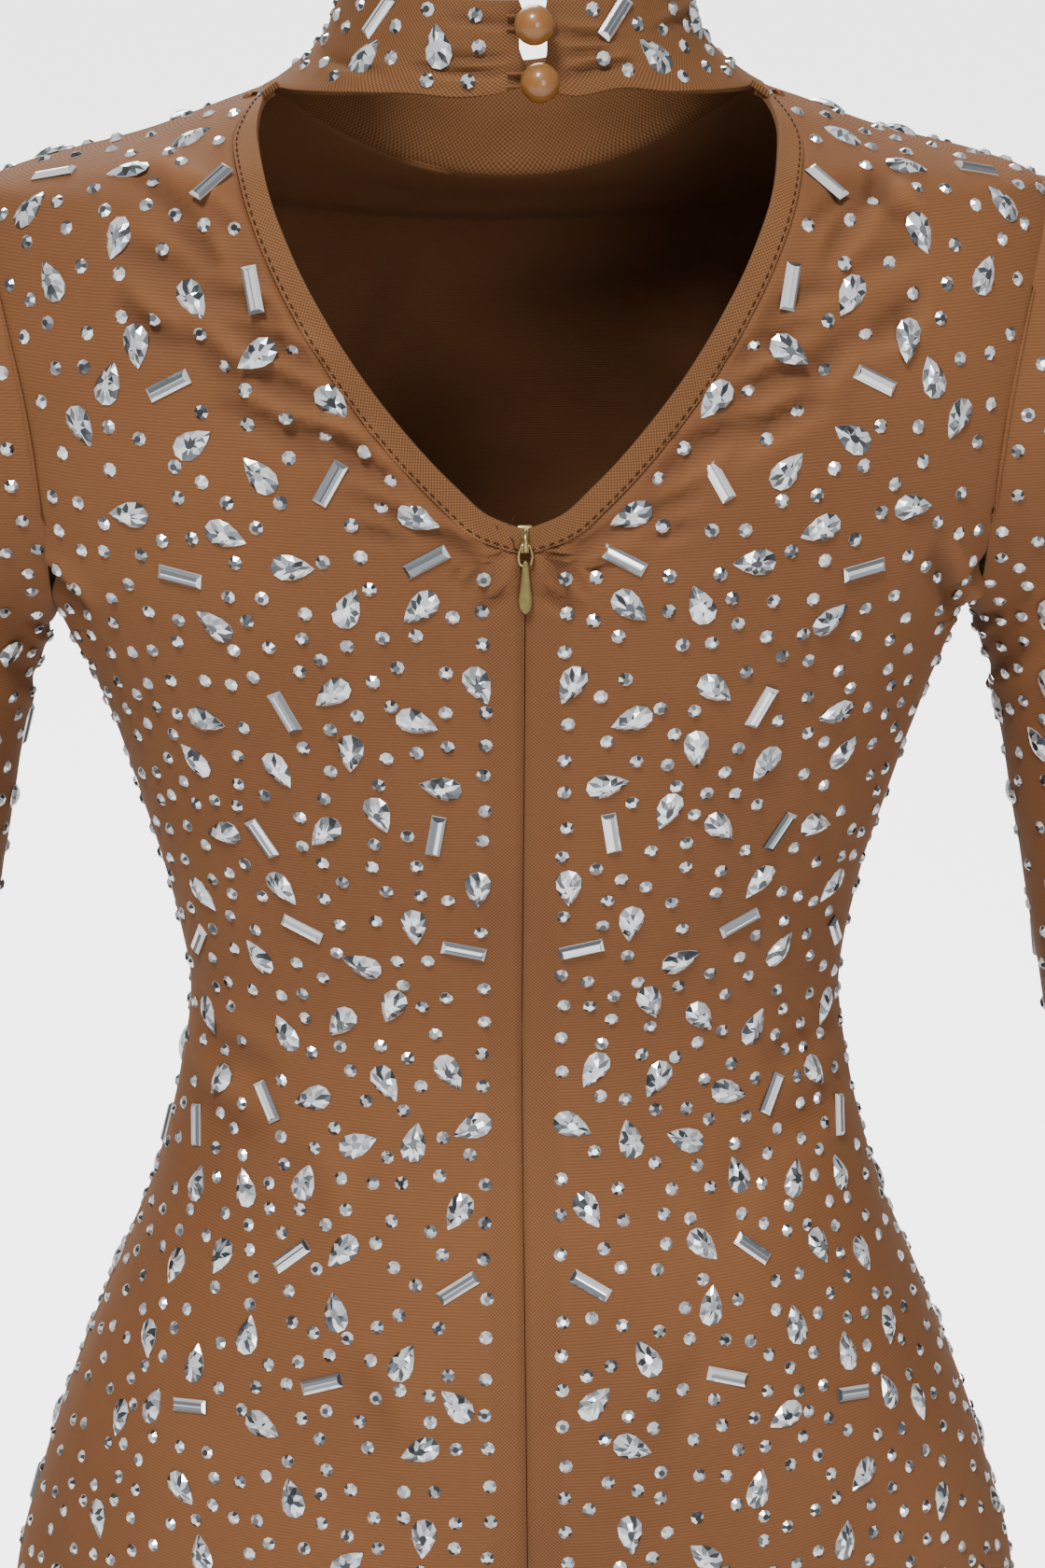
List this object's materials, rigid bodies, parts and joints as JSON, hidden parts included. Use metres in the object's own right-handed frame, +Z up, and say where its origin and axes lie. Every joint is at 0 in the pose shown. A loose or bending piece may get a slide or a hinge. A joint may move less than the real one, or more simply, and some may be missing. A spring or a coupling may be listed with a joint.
{
  "type": "maxi dress",
  "caption": "Worn semi-sheer maxi dress with a stand collar closed by ball buttons, an open keyhole back, a zip below it, long sleeves and a softly flared hem",
  "frame": {"origin": "the middle of the neck opening, level with the sides of the neck, where the dress hangs on the wearer's shoulders", "axes": "+Z up along the standing wearer, -Y the way the front faces, +Y out of the back, +X the wearer's left"},
  "size_m": [0.578, 0.3853, 1.4103],
  "materials": {
    "caramel_mesh": "fine semi-sheer power mesh, matt with a soft sheen",
    "doubled_mesh": "the same mesh folded double, topstitched",
    "button_amber": "polished, slightly clouded",
    "zip_brass": "satin, dulled",
    "pull_olive": "satin enamel"
  },
  "bodies": {
    "dress": {"back_left": "caramel_mesh", "back_right": "caramel_mesh", "binding_left": "doubled_mesh", "binding_right": "doubled_mesh", "button_lower": "button_amber", "button_upper": "button_amber", "collar": "caramel_mesh", "front": "caramel_mesh", "loop_lower": "doubled_mesh", "loop_upper": "doubled_mesh", "sleeve_left": "caramel_mesh", "sleeve_right": "caramel_mesh", "zip_slider": "zip_brass", "zip_tape": "doubled_mesh"},
    "pull": {"zip_link": "zip_brass", "zip_pull": "pull_olive"}
  },
  "joints": [
    {"name": "pull_swing", "type": "hinge", "parent": "dress", "child": "pull", "pos_m": [0, 0.09888, -0.1264], "axis": [1, 0, 0], "range_deg": [0, 150]}
  ]
}
